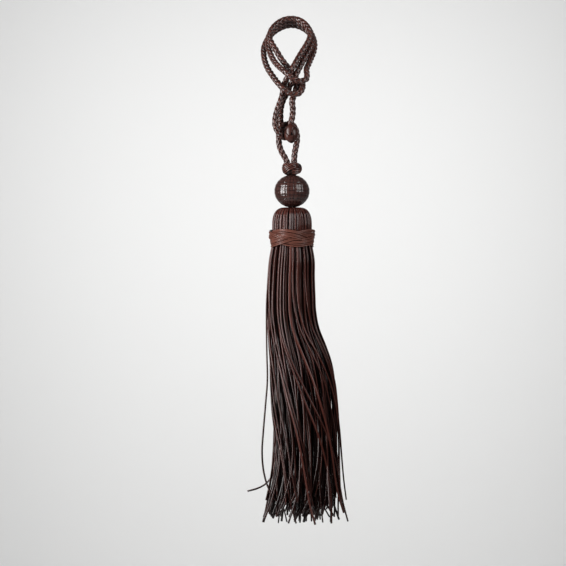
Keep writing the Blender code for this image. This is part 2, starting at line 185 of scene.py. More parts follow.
def leather_finish(name, dark, light, rough, grain_length, grain_depth, shine, gloss):
    """Leather with streaks along each lace, a tint of its own for each, and fine grain.

    The strips carry three attributes: lie, with the way along and across in metres, tint, and
    shade, a painted shade from 0 in the creases to 1 on top, which darkens the base colour.
    """
    material = bpy.data.materials.new(name)
    material.use_nodes = True
    tree = material.node_tree
    link = tree.links.new
    shader = tree.nodes["Principled BSDF"]
    shader.inputs["Metallic"].default_value = 0.0
    shader.inputs["Coat Weight"].default_value = shine
    shader.inputs["Coat Roughness"].default_value = COAT_ROUGHNESS
    shader.inputs["Specular IOR Level"].default_value = gloss

    lie = add_attribute(tree, "lie")
    stretch = add_node(tree, "ShaderNodeMapping", {"Scale": (1.0 / grain_length, 1.0, 1.0)})
    link(lie.outputs["Vector"], stretch.inputs["Vector"])
    streaks = add_node(
        tree, "ShaderNodeTexNoise", {"Scale": STREAK_SCALE, "Detail": 4.0, "Roughness": 0.6}
    )
    link(stretch.outputs["Vector"], streaks.inputs["Vector"])
    place = tree.nodes.new("ShaderNodeTexCoord")
    clouds = add_node(tree, "ShaderNodeTexNoise", {"Scale": CLOUD_SCALE, "Detail": 3.0})
    link(place.outputs["Object"], clouds.inputs["Vector"])

    tint = add_attribute(tree, "tint")
    cloudy = times_plus(tree, clouds.outputs["Fac"], CLOUD_SHARE)
    tinted = times_plus(tree, tint.outputs["Fac"], TINT_SHARE, cloudy)
    mixed = times_plus(tree, streaks.outputs["Fac"], STREAK_SHARE, tinted)
    ramp = tree.nodes.new("ShaderNodeValToRGB")
    for stop, position, colour in zip(ramp.color_ramp.elements, COLOUR_SPAN, (dark, light)):
        stop.position = position
        stop.color = (*colour, 1.0)
    link(mixed, ramp.inputs["Fac"])

    # Painted shade: the base colour is scaled down by the shade attribute, to CREASE_SHADE where
    # it is 0.
    shade = add_attribute(tree, "shade")
    depth = add_node(tree, "ShaderNodeMapRange", {"To Min": CREASE_SHADE})
    link(shade.outputs["Fac"], depth.inputs["Value"])
    shaded_colour = tree.nodes.new("ShaderNodeVectorMath")
    shaded_colour.operation = "SCALE"
    link(ramp.outputs["Color"], shaded_colour.inputs["Vector"])
    link(depth.outputs["Result"], shaded_colour.inputs["Scale"])
    link(shaded_colour.outputs["Vector"], shader.inputs["Base Color"])

    dullness = add_node(tree, "ShaderNodeMapRange", {
        "From Min": STREAK_SPAN[0], "From Max": STREAK_SPAN[1],
        "To Min": rough[0], "To Max": rough[1],
    })
    link(streaks.outputs["Fac"], dullness.inputs["Value"])
    link(dullness.outputs["Result"], shader.inputs["Roughness"])

    pores = add_node(tree, "ShaderNodeTexVoronoi", {"Scale": PORE_SCALE})
    link(lie.outputs["Vector"], pores.inputs["Vector"])
    surface = times_plus(tree, pores.outputs["Distance"], PORE_DEPTH, streaks.outputs["Fac"])
    bump = add_node(
        tree, "ShaderNodeBump", {"Strength": GRAIN_STRENGTH, "Distance": grain_depth * MM}
    )
    link(surface, bump.inputs["Height"])
    link(bump.outputs["Normal"], shader.inputs["Normal"])
    return material


BRAID_LEATHER = leather_finish(
    "braided leather", dark=(0.028, 0.0083, 0.0064), light=(0.128, 0.043, 0.031),
    rough=(0.20, 0.34), grain_length=3.0, grain_depth=0.06, shine=0.5, gloss=0.42,
)
SMOOTH_LEATHER = leather_finish(
    "smooth leather", dark=(0.016, 0.0045, 0.0036), light=(0.068, 0.021, 0.015),
    rough=(0.26, 0.40), grain_length=5.0, grain_depth=0.05, shine=0.12, gloss=0.32,
)
BALL_LEATHER = leather_finish(
    "woven leather", dark=(0.016, 0.0062, 0.005), light=(0.070, 0.027, 0.022),
    rough=(0.18, 0.30), grain_length=1.5, grain_depth=0.04, shine=0.45, gloss=0.36,
)
BAND_LEATHER = leather_finish(
    "plaited leather", dark=(0.060, 0.018, 0.012), light=(0.165, 0.058, 0.040),
    rough=(0.30, 0.44), grain_length=6.0, grain_depth=0.06, shine=0.10, gloss=0.30,
)
LACE_LEATHER = leather_finish(
    "lace leather", dark=(0.011, 0.0032, 0.0025), light=(0.112, 0.031, 0.022),
    rough=(0.15, 0.26), grain_length=8.0, grain_depth=0.05, shine=0.5, gloss=0.15,
)


# Lines and strips, in millimetres

PATTERN_SHIFT = 37.0


def smooth_line(points, steps):
    """Centripetal Catmull-Rom curve through the points, with this many steps between each two."""
    points = np.asarray(points, float)
    ends = (2 * points[:1] - points[1:2], points, 2 * points[-1:] - points[-2:-1])
    points = np.concatenate(ends)
    share = np.arange(steps)[:, None] / steps
    line = []
    for i in range(1, len(points) - 2):
        p0, p1, p2, p3 = points[i - 1 : i + 3]
        t1 = math.sqrt(np.linalg.norm(p1 - p0))
        t2 = t1 + math.sqrt(np.linalg.norm(p2 - p1))
        t3 = t2 + math.sqrt(np.linalg.norm(p3 - p2))
        t = t1 + (t2 - t1) * share
        a = p0 + (p1 - p0) * t / t1
        b = p1 + (p2 - p1) * (t - t1) / (t2 - t1)
        c = p2 + (p3 - p2) * (t - t2) / (t3 - t2)
        d = a + (b - a) * t / t2
        e = b + (c - b) * (t - t1) / (t3 - t1)
        line.append(d + (e - d) * (t - t1) / (t2 - t1))
    line.append(points[-2:-1])
    return np.concatenate(line)


def way_along(line):
    """Distance from the start at each point of a line."""
    return np.concatenate([[0.0], np.cumsum(np.linalg.norm(np.diff(line, axis=0), axis=1))])


def even_line(line, step):
    """The same line with points about a step apart."""
    along = way_along(line)
    count = max(2, int(round(along[-1] / step)) + 1)
    places = np.linspace(0.0, along[-1], count)
    return np.column_stack([np.interp(places, along, line[:, axis]) for axis in range(3)])


def unit(vectors):
    """Vectors made one long."""
    return vectors / np.maximum(np.linalg.norm(vectors, axis=-1, keepdims=True), 1e-12)


def untwisted_frames(line):
    """Two directions square to a line, at each point, that don't turn about it."""
    ahead = unit(np.gradient(line, axis=0))
    start = np.cross(ahead[0], (0.0, 0.0, 1.0))
    if np.linalg.norm(start) < 0.1:
        start = np.cross(ahead[0], (1.0, 0.0, 0.0))
    side = np.empty_like(line)
    side[0] = unit(start)
    for i in range(1, len(line)):
        side[i] = unit(side[i - 1] - ahead[i] * np.dot(side[i - 1], ahead[i]))
    return side, np.cross(ahead, side)


def closed_frames(line, up):
    """Side and upward direction of a closed line, from a rough upward direction."""
    ahead = unit(np.roll(line, -1, axis=0) - np.roll(line, 1, axis=0))
    side = unit(np.cross(ahead, up))
    return side, unit(np.cross(side, ahead))


class Strips:
    """Collects swept strips and makes one mesh piece of them."""

    def __init__(self):
        self.points = []
        self.faces = []
        self.lie = []
        self.tint = []
        self.shade = []
        self.count = 0

    def add(self, rings, tint, closed=False, shade=1.0):
        """Add one strip. rings holds its cross-sections, each a ring of points."""
        length, around, _ = rings.shape
        girth = np.linalg.norm(np.diff(rings[length // 2], axis=0), axis=1).sum()
        lie = np.empty((length, around, 3))
        lie[..., 0] = way_along(rings.mean(axis=1))[:, None]
        lie[..., 1] = np.linspace(0.0, 1.0, around, endpoint=False)[None, :] * girth
        lie[..., 2] = PATTERN_SHIFT * tint
        corner = self.count + np.arange(length * around).reshape(length, around)
        if closed:
            corner = np.concatenate([corner, corner[:1]])
        first = corner[:-1]
        second = corner[1:]
        quads = np.stack(
            [first, np.roll(first, -1, axis=1), np.roll(second, -1, axis=1), second], axis=-1
        )
        self.faces.extend(quads.reshape(-1, 4).tolist())
        if not closed:
            self.faces.append(corner[0, ::-1].tolist())
            self.faces.append(corner[-1].tolist())
        self.points.append(rings.reshape(-1, 3))
        self.lie.append(lie.reshape(-1, 3))
        self.tint.append(np.full(length * around, tint))
        self.shade.append(np.broadcast_to(shade, (length, around)).ravel())
        self.count += length * around

    def piece(self, name, material):
        """The strips as one object, in metres, with normals facing out."""
        mesh = bpy.data.meshes.new(name)
        mesh.from_pydata((np.concatenate(self.points) * MM).tolist(), [], self.faces)
        give_attributes(
            mesh, np.concatenate(self.lie) * MM, np.concatenate(self.tint),
            np.concatenate(self.shade),
        )
        shape = bmesh.new()
        shape.from_mesh(mesh)
        bmesh.ops.recalc_face_normals(shape, faces=shape.faces)
        shape.to_mesh(mesh)
        shape.free()
        mesh.shade_smooth()
        mesh.materials.append(material)
        made = bpy.data.objects.new(name, mesh)
        bpy.context.scene.collection.objects.link(made)
        return made


def give_attributes(mesh, lie, tint, shade):
    """What a leather finish reads at each point of a mesh."""
    mesh.attributes.new("lie", "FLOAT_VECTOR", "POINT").data.foreach_set("vector", lie.ravel())
    mesh.attributes.new("tint", "FLOAT", "POINT").data.foreach_set("value", tint)
    mesh.attributes.new("shade", "FLOAT", "POINT").data.foreach_set("value", shade)


def section(form):
    """Points round a rounded strip, one unit to each side and one up and down.

    form is the number of points and their power: 1 is an ellipse, and less is squarer.
    """
    sides, power = form
    turn = math.tau * (np.arange(sides) + 0.5) / sides
    wide = np.sign(np.cos(turn)) * np.abs(np.cos(turn)) ** power
    high = np.sign(np.sin(turn)) * np.abs(np.sin(turn)) ** power
    return wide, high


def strip_shade(form):
    """Painted shade round a strip: dark at its edges and below, light on top."""
    _, high = section(form)
    return np.clip(0.25 + 0.9 * high, 0.0, 1.0)[None, :]


def strip_rings(line, side, up, half_width, half_height, form, droop=0.0):
    """Cross-sections of a strip along a line. droop bends its edges down round what it lies on."""
    wide, high = section(form)
    half_width = np.broadcast_to(half_width, len(line))[:, None, None]
    across = half_width * wide[None, :, None]
    rise = half_height * high[None, :, None] - droop * across**2
    return line[:, None] + across * side[:, None] + rise * up[:, None]


def finish_piece(piece, node):
    """Let a piece ride on the body and stand for its solid."""
    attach(piece, BODY)
    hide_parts(node)


# Braided cord

# The braid's crossings stand a little proud of the cord's own diameter.
BRAID_DIAMETER = 6.4
CORD_PITCH = 21.0
ROUTE_STEPS = 12
BRAID_STEP = 1.1
BRAID_OVER = 0.36
STRAND_THICK = 0.60
STRAND_SPREAD = math.radians(39.0)
STRAND_FALLOFF = 1.5
STRAND_TINTS = (0.2, 0.8)
CORE_SHARE = 0.58
CORE_SECTION = (8, 1.0)

# Cross-section of one strand. Columns: across, up.
STRAND_SECTION = (
    (-1.0, -0.1),
    (-0.74, 0.6),
    (-0.3, 0.95),
    (0.3, 0.95),
    (0.74, 0.6),
    (1.0, -0.1),
    (0.6, -0.8),
    (-0.6, -0.8),
)

# Route of the tie: up from the button, three turns, and back to the button.
# Columns: x, y, z.
TIE_ROUTE = (
    # up from the button, behind the front turns
    (0.9, -22.0, -68.0),
    (2.4, -19.6, -62.0),
    (2.9, -18.0, -54.0),
    (2.5, -16.8, -46.0),
    (4.6, -15.2, -38.6),
    (8.9, -13.9, -32.4),
    # curl to the front
    (12.3, -16.9, -28.9),
    (12.8, -22.8, -30.8),
    (12.0, -27.4, -35.2),
    (8.6, -30.6, -39.3),
    # outer turn, up on the left
    (3.4, -31.4, -40.2),
    (-1.6, -31.4, -38.2),
    (-6.6, -31.6, -34.6),
    (-12.1, -28.4, -28.5),
    (-16.8, -22.0, -21.8),
    (-21.6, -15.5, -14.0),
    (-24.8, -9.0, -6.0),
    (-26.3, -2.5, 2.0),
    (-26.2, 3.3, 9.8),
    (-23.8, 8.6, 17.0),
    (-19.2, 13.0, 23.8),
    # first pass at the back
    (-12.5, 16.6, 29.6),
    (-4.0, 18.8, 33.6),
    (4.5, 19.0, 34.2),
    (12.5, 16.8, 31.4),
    (19.0, 12.6, 26.3),
    # outer strand, down on the right
    (23.4, 7.0, 20.6),
    (24.9, 0.8, 13.4),
    (23.9, -6.2, 4.8),
    (20.9, -13.7, -3.2),
    (18.4, -20.6, -9.6),
    (16.4, -25.2, -15.0),
    (16.9, -30.0, -20.4),
    # hook into the middle turn
    (16.0, -33.8, -25.4),
    (11.0, -36.0, -27.6),
    (5.0, -37.0, -26.2),
    (-0.4, -37.6, -22.6),
    (-5.6, -34.9, -17.6),
    (-10.9, -27.4, -12.4),
    (-15.6, -20.6, -6.4),
    (-19.2, -13.8, 1.0),
    (-21.6, -7.2, 9.0),
    (-22.2, -0.6, 16.6),
    (-20.0, 5.4, 24.2),
    # second pass at the back
    (-14.0, 10.0, 31.0),
    (-5.5, 12.6, 35.8),
    (4.0, 12.8, 36.8),
    (12.6, 10.4, 34.0),
    (19.2, 5.2, 28.2),
    # middle strand, down on the right and on to the left leg
    (22.6, -1.8, 20.6),
    (22.0, -8.6, 12.4),
    (19.3, -13.8, 4.8),
    (14.8, -19.0, -3.0),
    (10.9, -24.0, -10.6),
    (7.2, -27.6, -18.0),
    (4.2, -28.4, -25.0),
    (-0.2, -23.4, -31.0),
    (-2.3, -17.2, -36.8),
    (-6.8, -16.8, -45.0),
    (-9.2, -15.2, -54.0),
    (-9.4, -12.9, -63.0),
    (-8.9, -12.5, -70.0),
    # bight round the eye
    (-6.2, -13.4, -75.6),
    (-4.3, -17.0, -80.0),
    (-4.3, -22.2, -82.8),
    (-8.6, -27.6, -81.8),
    (-12.2, -28.0, -77.2),
    # up the left leg again
    (-14.6, -28.2, -71.0),
    (-14.6, -27.9, -64.0),
    (-13.0, -27.0, -56.5),
    (-10.0, -25.6, -48.0),
    (-7.6, -23.8, -40.0),
    (-6.7, -24.2, -32.0),
    # inner strand, up on the right
    (-3.6, -28.2, -25.0),
    (-0.2, -30.3, -18.6),
    (3.9, -29.2, -11.6),
    (7.8, -25.5, -4.4),
    (12.4, -20.6, 3.6),
    (17.0, -16.2, 11.4),
    (20.0, -12.0, 18.2),
    (20.2, -6.4, 25.0),
    (16.6, -0.6, 32.0),
    # third pass at the back
    (10.5, 4.4, 37.4),
    (2.5, 6.6, 39.6),
    (-6.0, 6.2, 38.4),
    (-13.6, 2.8, 33.6),
    (-19.0, -2.4, 26.4),
    # inner turn, down on the left and back to the button
    (-20.4, -8.0, 18.6),
    (-17.6, -13.2, 11.3),
    (-14.0, -17.0, 5.2),
    (-8.9, -20.0, -3.6),
    (-4.0, -21.2, -10.2),
    (1.0, -21.8, -16.0),
    (4.8, -21.0, -22.6),
    (6.4, -20.8, -30.6),
    (4.9, -23.4, -38.0),
    (2.0, -24.2, -46.0),
    (2.8, -25.2, -54.0),
    (2.4, -26.8, -61.6),
    (1.3, -28.6, -67.4),
)

# Route of the eye: up from the crown knot, over behind the button and back.
EYE_ROUTE = (
    (-3.2, -20.0, -106.5),
    (-4.8, -20.0, -103.0),
    (-7.2, -20.0, -99.0),
    (-9.3, -20.1, -94.5),
    (-10.7, -20.4, -89.5),
    (-11.1, -20.6, -84.3),
    (-10.7, -20.5, -79.0),
    (-9.2, -20.3, -74.0),
    (-5.4, -18.6, -70.0),
    (-0.6, -15.1, -68.4),
    (3.4, -15.6, -70.4),
    (5.9, -16.6, -75.0),
    (7.0, -17.2, -80.5),
    (6.9, -17.6, -86.0),
    (6.0, -18.4, -91.5),
    (4.9, -19.3, -97.0),
    (4.3, -20.0, -102.5),
    (4.1, -20.0, -106.6),
)

# How the cords go on inside the button and the crown knot.
TIE_START = ((1.0, -30.0, -76.0), (1.0, -25.5, -72.5))
TIE_END = ((1.1, -30.4, -73.0),)
EYE_START = ((-1.6, -20.0, -111.0),)
EYE_END = ((3.6, -20.0, -111.0),)


def braid(strips, line, chance):
    """An eight-strand round braid, over two and under two, laid along a line."""
    side, up = untwisted_frames(line)
    quarter = math.pi / 2
    turn = (math.tau * way_along(line) / CORD_PITCH)[:, None]
    middle = BRAID_DIAMETER / 2 - BRAID_OVER - STRAND_THICK
    across, rise = np.array(STRAND_SECTION).T
    for way, lead in ((1, -0.5), (-1, 2.5)):
        for number in range(4):
            angle = way * turn + number * quarter + across * STRAND_SPREAD
            met = turn / quarter + way * (angle / quarter - number)
            wave = np.cos(quarter * (met + 2 * number + lead))
            reach = middle + BRAID_OVER * wave + STRAND_THICK * rise
            rings = (
                line[:, None]
                + (reach * np.cos(angle))[..., None] * side[:, None]
                + (reach * np.sin(angle))[..., None] * up[:, None]
            )
            # Painted shade: each strand is darker the deeper it lies in the braid.
            shade = np.clip((reach - middle + 0.1) / (BRAID_OVER + STRAND_THICK), 0.0, 1.0)
            strips.add(rings, chance.uniform(*STRAND_TINTS), shade=shade**STRAND_FALLOFF)
    # The core is painted fully shaded, dark between the strands.
    core_half = CORE_SHARE * BRAID_DIAMETER / 2
    core = strip_rings(line[::2], side[::2], up[::2], core_half, core_half, CORE_SECTION)
    strips.add(core, 0.0, shade=0.0)


def free_cord(name, route, node, seed):
    """A braided cord laid along its route between its two fixed ends."""
    line = even_line(smooth_line(route, ROUTE_STEPS), BRAID_STEP)
    strips = Strips()
    braid(strips, line, random.Random(seed))
    cord = strips.piece(name, BRAID_LEATHER)
    finish_piece(cord, node)


free_cord("braided_tie", (*TIE_START, *TIE_ROUTE, *TIE_END), "tie_cord", 3)
free_cord("braided_eye", (*EYE_START, *EYE_ROUTE, *EYE_END), "eye_cord", 5)


# Knots

BUTTON_CENTRE = np.array((1.0, -31.0, -79.2))
BUTTON_HALF = np.array((7.0, 6.4, 9.7))
BUTTON_FRONT = np.array((-0.62, -0.62, -0.48))
BUTTON_TOP = np.array((-0.38, -0.87, 0.32))
BUTTON_LACE_HALF = 3.3
BUTTON_THICK = 0.5
BUTTON_SECTION = (14, 0.6)
BUTTON_DROOP = 0.055
BUTTON_REACH = 0.875
BUTTON_OVER = 0.085
BUTTON_FILLING = 0.84
BUTTON_POINTS = 96

CROWN_CENTRE = np.array((1.7, -20.0, -113.4))
CROWN_BIGHTS = 3
CROWN_TURNS = 2
CROWN_RADIUS = 8.1
CROWN_LACES = 4
CROWN_LACE_PITCH = 1.7
CROWN_LACE_HALF = 0.48 * CROWN_LACE_PITCH
CROWN_THICK = 1.05
CROWN_RISE = 3.4
CROWN_OVER = 1.3
CROWN_TILT = 0.5
CROWN_HOLLOW = 0.3
CROWN_SECTION = (10, 1.0)
CROWN_FALLOFF = 4
CROWN_TINTS = (0.1, 1.0)
CROWN_FRONT = math.radians(-118.0)
CROWN_NECK = np.array((-0.6, 0.0, -2.8))
CROWN_NECK_HALF = np.array((8.0, 8.0, 5.0))
CROWN_POINTS = 160
CROWN_SEED = 8


def egg_rings(centre, half, rows=14, around=20):
    """Rings of an egg-shaped filling, from pole to pole."""
    latitude = np.linspace(-1.5, 1.5, rows)[:, None]
    turn = math.tau * np.arange(around)[None, :] / around
    reach = np.cos(latitude)
    ball = np.stack(
        [reach * np.cos(turn), reach * np.sin(turn), np.sin(latitude) + 0 * turn], axis=-1
    )
    return centre + ball * half


def button_knot():
    """The button: three smooth flat laces, each once round the others, over a filling."""
    front = unit(BUTTON_FRONT)
    top = unit(BUTTON_TOP - front * np.dot(BUTTON_TOP, front))
    right = np.cross(top, front)
    turn = np.linspace(0.0, math.tau, BUTTON_POINTS, endpoint=False)
    strips = Strips()
    loops = ((front, top, -1, 0.55), (front, right, 1, 0.75), (top, right, -1, 0.35))
    for first, second, sign, tint in loops:
        ball = np.cos(turn)[:, None] * first + np.sin(turn)[:, None] * second
        reach = BUTTON_REACH + sign * BUTTON_OVER * np.cos(2 * turn)
        line = BUTTON_CENTRE + ball * BUTTON_HALF * reach[:, None]
        side, up = closed_frames(line, unit(ball / BUTTON_HALF))
        rings = strip_rings(
            line, side, up, BUTTON_LACE_HALF, BUTTON_THICK, BUTTON_SECTION, BUTTON_DROOP
        )
        strips.add(rings, tint, closed=True, shade=strip_shade(BUTTON_SECTION))
    # The filling is painted fully shaded, dark between the laces.
    strips.add(egg_rings(BUTTON_CENTRE, BUTTON_HALF * BUTTON_FILLING), 0.0, shade=0.0)
    return strips.piece("button_laces", SMOOTH_LEATHER)


def crown_knot():
    """The crown knot: four laces side by side, worked twice round, over and under themselves."""
    strips = Strips()
    chance = random.Random(CROWN_SEED)
    angle = np.linspace(0.0, math.tau * CROWN_TURNS, CROWN_POINTS, endpoint=False)
    place = CROWN_BIGHTS / CROWN_TURNS * (angle - CROWN_FRONT)
    radius = CROWN_RADIUS + CROWN_OVER * np.cos(place)
    out = np.column_stack([np.cos(angle), np.sin(angle), CROWN_TILT * np.sin(place)])
    line = CROWN_CENTRE + np.column_stack(
        [radius * np.cos(angle), radius * np.sin(angle), CROWN_RISE * np.sin(place)]
    )
    side, up = closed_frames(line, unit(out))
    # Painted shade: dark creases between the laces.
    shade = strip_shade(CROWN_SECTION) ** CROWN_FALLOFF
    for number in range(CROWN_LACES):
        across = number - (CROWN_LACES - 1) / 2
        lace_line = line + side * across * CROWN_LACE_PITCH - up * CROWN_HOLLOW * across**2
        rings = strip_rings(lace_line, side, up, CROWN_LACE_HALF, CROWN_THICK, CROWN_SECTION)
        strips.add(rings, chance.uniform(*CROWN_TINTS), closed=True, shade=shade)
    # The neck filling is painted almost fully shaded.
    strips.add(egg_rings(CROWN_CENTRE + CROWN_NECK, CROWN_NECK_HALF), 0.0, shade=0.1)
    return strips.piece("crown_braid", BRAID_LEATHER)


finish_piece(button_knot(), "button_knot")
finish_piece(crown_knot(), "crown_knot")


# Woven ball

BALL_CENTRE = np.array((2.0, -20.0, -136.2))
BALL_HALF = np.array((17.7, 17.7, 16.4))
BALL_STRIPS = 26
BALL_ROWS = 12
BALL_WEAVE = 0.5
BALL_ARCH = 0.4
BALL_STRIP_WIDTH = 4.0
BALL_SEGMENTS = 256
BALL_RINGS = 150
UPRIGHT_SHIFT = 20.0


def rounded_strip(place):
    """Height across the strips of the weave, with a groove at each edge."""
    away = 2.0 * np.abs(place - np.floor(place) - 0.5)
    return np.sqrt(np.clip(1.0 - away**6, 0.0, 1.0))


def woven_ball():
    """The ball: a sphere whose points are raised into a basket weave of flat strips."""
    bpy.ops.object.select_all(action="DESELECT")
    bpy.ops.mesh.primitive_uv_sphere_add(
        segments=BALL_SEGMENTS, ring_count=BALL_RINGS, radius=1.0
    )
    ball = bpy.context.object
    ball.name = "ball_weave"
    mesh = ball.data
    place = np.empty(3 * len(mesh.vertices))
    mesh.vertices.foreach_get("co", place)
    place = place.reshape(-1, 3)
    meridian = BALL_STRIPS * (np.arctan2(place[:, 1], place[:, 0]) / math.tau + 0.5)
    parallel = BALL_ROWS * (np.arcsin(np.clip(place[:, 2], -1.0, 1.0)) / math.pi + 0.5)
    upright = (np.floor(meridian) + np.floor(parallel)) % 2
    along = np.where(upright, parallel, meridian)
    across = np.where(upright, meridian, parallel)
    arch = np.sin(math.pi * (along - np.floor(along)))
    raised = rounded_strip(across) * (1.0 - BALL_ARCH + BALL_ARCH * arch)
    height = BALL_WEAVE * (raised - 1.0)
    made = BALL_CENTRE + place * (BALL_HALF + height[:, None])
    mesh.vertices.foreach_set("co", (made * MM).ravel())
    way = [along * BALL_STRIP_WIDTH, across * BALL_STRIP_WIDTH, upright * UPRIGHT_SHIFT]
    tint = 0.55 + 0.25 * np.sin(PATTERN_SHIFT * np.floor(across))
    # Painted shade: the weave is darker in its grooves and towards the strip ends.
    shade = np.clip(1.9 * raised - 0.65, 0.0, 1.0)
    give_attributes(mesh, np.column_stack(way) * MM, tint, shade)
    mesh.update()
    mesh.shade_smooth()
    mesh.materials.append(BALL_LEATHER)
    return ball


finish_piece(woven_ball(), "ball")


# Head of the tassel

TASSEL_X = 2.0
TASSEL_Y = -20.0
HEAD_LACES = 58
HEAD_SPREAD = 0.3
HEAD_LEAN = 0.03
HEAD_LIFT = (-0.7, 0.35)
HEAD_HALF = (0.85, 1.2)
HEAD_FILL = 1.05
HEAD_THICK = 0.85
HEAD_SECTION = (10, 0.95)
HEAD_FALLOFF = 3
HEAD_STEPS = 5

# Way of a lace over the head. Columns: radius, z.
HEAD_PROFILE = (
    (7.5, -153.3),
    (11.0, -153.7),
    (14.4, -155.4),
    (17.0, -158.6),
    (18.5, -163.2),
    (19.0, -169.0),
    (18.9, -176.0),
    (18.3, -183.0),
    (17.6, -188.0),
)

# Filling inside the head. Columns: radius, z.
HEAD_CORE = (
    (3.0, -154.2),
    (10.5, -154.6),
    (15.8, -159.0),
    (17.8, -166.0),
    (18.0, -185.0),
    (16.0, -195.0),
    (3.0, -196.0),
)


def on_axis(out, radius, z):
    """Points at this radius and height round the tassel's middle line."""
    line = out * np.reshape(radius, (-1, 1))
    line[:, 0] += TASSEL_X
    line[:, 1] += TASSEL_Y
    line[:, 2] = z
    return line


def outward(angle):
    """Level directions at these angles round the tassel's middle line."""
    return np.column_stack([np.cos(angle), np.sin(angle), 0 * angle])


def head_laces(strips, chance):
    """Laces folded over the top of the head and held flat under the band."""
    profile = smooth_line([(radius, 0.0, z) for radius, z in HEAD_PROFILE], HEAD_STEPS)
    share = np.linspace(0.0, 1.0, len(profile))
    bulge = np.sin(math.pi * share)
    # Painted shadow: laces are darker near the top of the head, under the ball, and dark in their
    # creases.
    lit = np.clip(0.3 + 3.5 * share, 0.0, 1.0)[:, None]
    for number in range(HEAD_LACES):
        start = math.tau * (number + chance.uniform(-HEAD_SPREAD, HEAD_SPREAD)) / HEAD_LACES
        out = outward(start + chance.uniform(-HEAD_LEAN, HEAD_LEAN) * bulge)
        radius = profile[:, 0] + chance.uniform(*HEAD_LIFT) * bulge**0.5
        line = on_axis(out, radius, profile[:, 2])
        ahead = unit(np.gradient(line, axis=0))
        side = unit(np.column_stack([-out[:, 1], out[:, 0], 0 * share]))
        up = unit(np.cross(ahead, side))
        room = HEAD_FILL * math.pi * radius / HEAD_LACES
        half_width = np.minimum(chance.uniform(*HEAD_HALF), room)
        rings = strip_rings(line, side, up, half_width, HEAD_THICK, HEAD_SECTION)
        shade = lit * strip_shade(HEAD_SECTION) ** HEAD_FALLOFF
        strips.add(rings, chance.uniform(0.0, 1.0), shade=shade)


def lathe_rings(profile, around=40):
    """Rings of a turned filling round the tassel's middle line. Columns: radius, z."""
    out = outward(math.tau * np.arange(around) / around)
    return np.array([on_axis(out, radius, z) for radius, z in profile])


# Neck band

BAND_BIGHTS = 4
BAND_TURNS = 3
BAND_START = 0.1745
BAND_MIDDLE = -183.2
BAND_RADIUS = 21.3
BAND_OVER = 0.95
BAND_SWING = 5.1
BAND_LACES = 5
BAND_LACE_PITCH = 1.55
BAND_LACE_HALF = 0.50 * BAND_LACE_PITCH
BAND_WANDER = 0.28
BAND_LIFT = 0.30
BAND_THICK = 0.85
BAND_SECTION = (10, 1.0)
BAND_FALLOFF = 1.5
BAND_TINTS = (0.25, 0.95)
BAND_POINTS = 540
BAND_SEED = 21


def neck_band():
    """The band: five laces side by side, worked three times round the head in a plait."""
    strips = Strips()
    chance = random.Random(BAND_SEED)
    angle = np.linspace(0.0, math.tau * BAND_TURNS, BAND_POINTS, endpoint=False)
    place = BAND_BIGHTS * angle / BAND_TURNS + BAND_START
    out = outward(angle)
    radius = BAND_RADIUS - BAND_OVER * np.sin(2 * place)
    line = on_axis(out, radius, BAND_MIDDLE + BAND_SWING * np.sin(place))
    side, up = closed_frames(line, out)
    shade = strip_shade(BAND_SECTION) ** BAND_FALLOFF
    for number in range(BAND_LACES):
        offset = (number - (BAND_LACES - 1) / 2) * BAND_LACE_PITCH
        wander = BAND_WANDER * np.sin(4 * angle / BAND_TURNS + chance.uniform(0, math.tau))
        lift = BAND_LIFT * np.sin(5 * angle / BAND_TURNS + chance.uniform(0, math.tau))
        lace_line = line + side * (offset + wander)[:, None] + up * lift[:, None]
        rings = strip_rings(lace_line, side, up, BAND_LACE_HALF, BAND_THICK, BAND_SECTION)
        strips.add(rings, chance.uniform(*BAND_TINTS), closed=True, shade=shade)
    return strips.piece("plaited_band", BAND_LEATHER)


# Hanging laces

LACE_ROOT = -186.5
TIP_LONGEST = -467.5
TIP_SHORTEST = -438.0

# Outline of the skirt of laces. Columns: z, centre x, centre y, half width, half depth.
SKIRT_OUTLINE = (
    (-186.5, 2.0, -20.0, 19.6, 19.6),
    (-191.5, 2.3, -20.0, 21.2, 20.8),
    (-196.5, 2.3, -20.0, 22.7, 21.8),
    (-205.0, 1.9, -20.0, 23.0, 22.0),
    (-220.0, 1.3, -20.0, 23.7, 22.2),
    (-240.0, 1.1, -20.3, 24.7, 22.8),
    (-258.0, 1.4, -20.5, 25.2, 23.2),
    (-278.0, 3.9, -20.5, 26.6, 23.8),
    (-290.0, 7.0, -20.5, 29.2, 24.4),
    (-305.0, 10.4, -20.5, 31.4, 25.0),
    (-325.0, 13.0, -20.7, 33.2, 25.8),
    (-350.0, 14.6, -21.0, 33.6, 26.6),
    (-375.0, 16.2, -21.0, 33.2, 27.0),
    (-400.0, 16.8, -21.0, 33.0, 27.0),
    (-425.0, 16.4, -21.0, 33.6, 27.0),
    (-468.0, 15.0, -21.0, 35.0, 28.0),
)

# Layers of laces from the middle out. Columns: share of the half width, count, twist and the
# most it varies in degrees, how far tips swing out.
LACE_LAYERS = (
    (0.15, 8, 0.0, 0.0, 0.0),
    (0.305, 15, 34.0, 0.0, 0.0),
    (0.455, 22, -26.0, 2.0, 4.0),
    (0.60, 28, 18.0, 6.0, 12.0),
    (0.72, 32, 44.0, 10.0, 18.0),
    (0.81, 32, -14.0, 12.0, 20.0),
    (0.88, 32, 34.0, 16.0, 22.0),
    (0.945, 27, 4.0, 20.0, 22.0),
    (1.0, 26, 66.0, 24.0, 22.0),
)

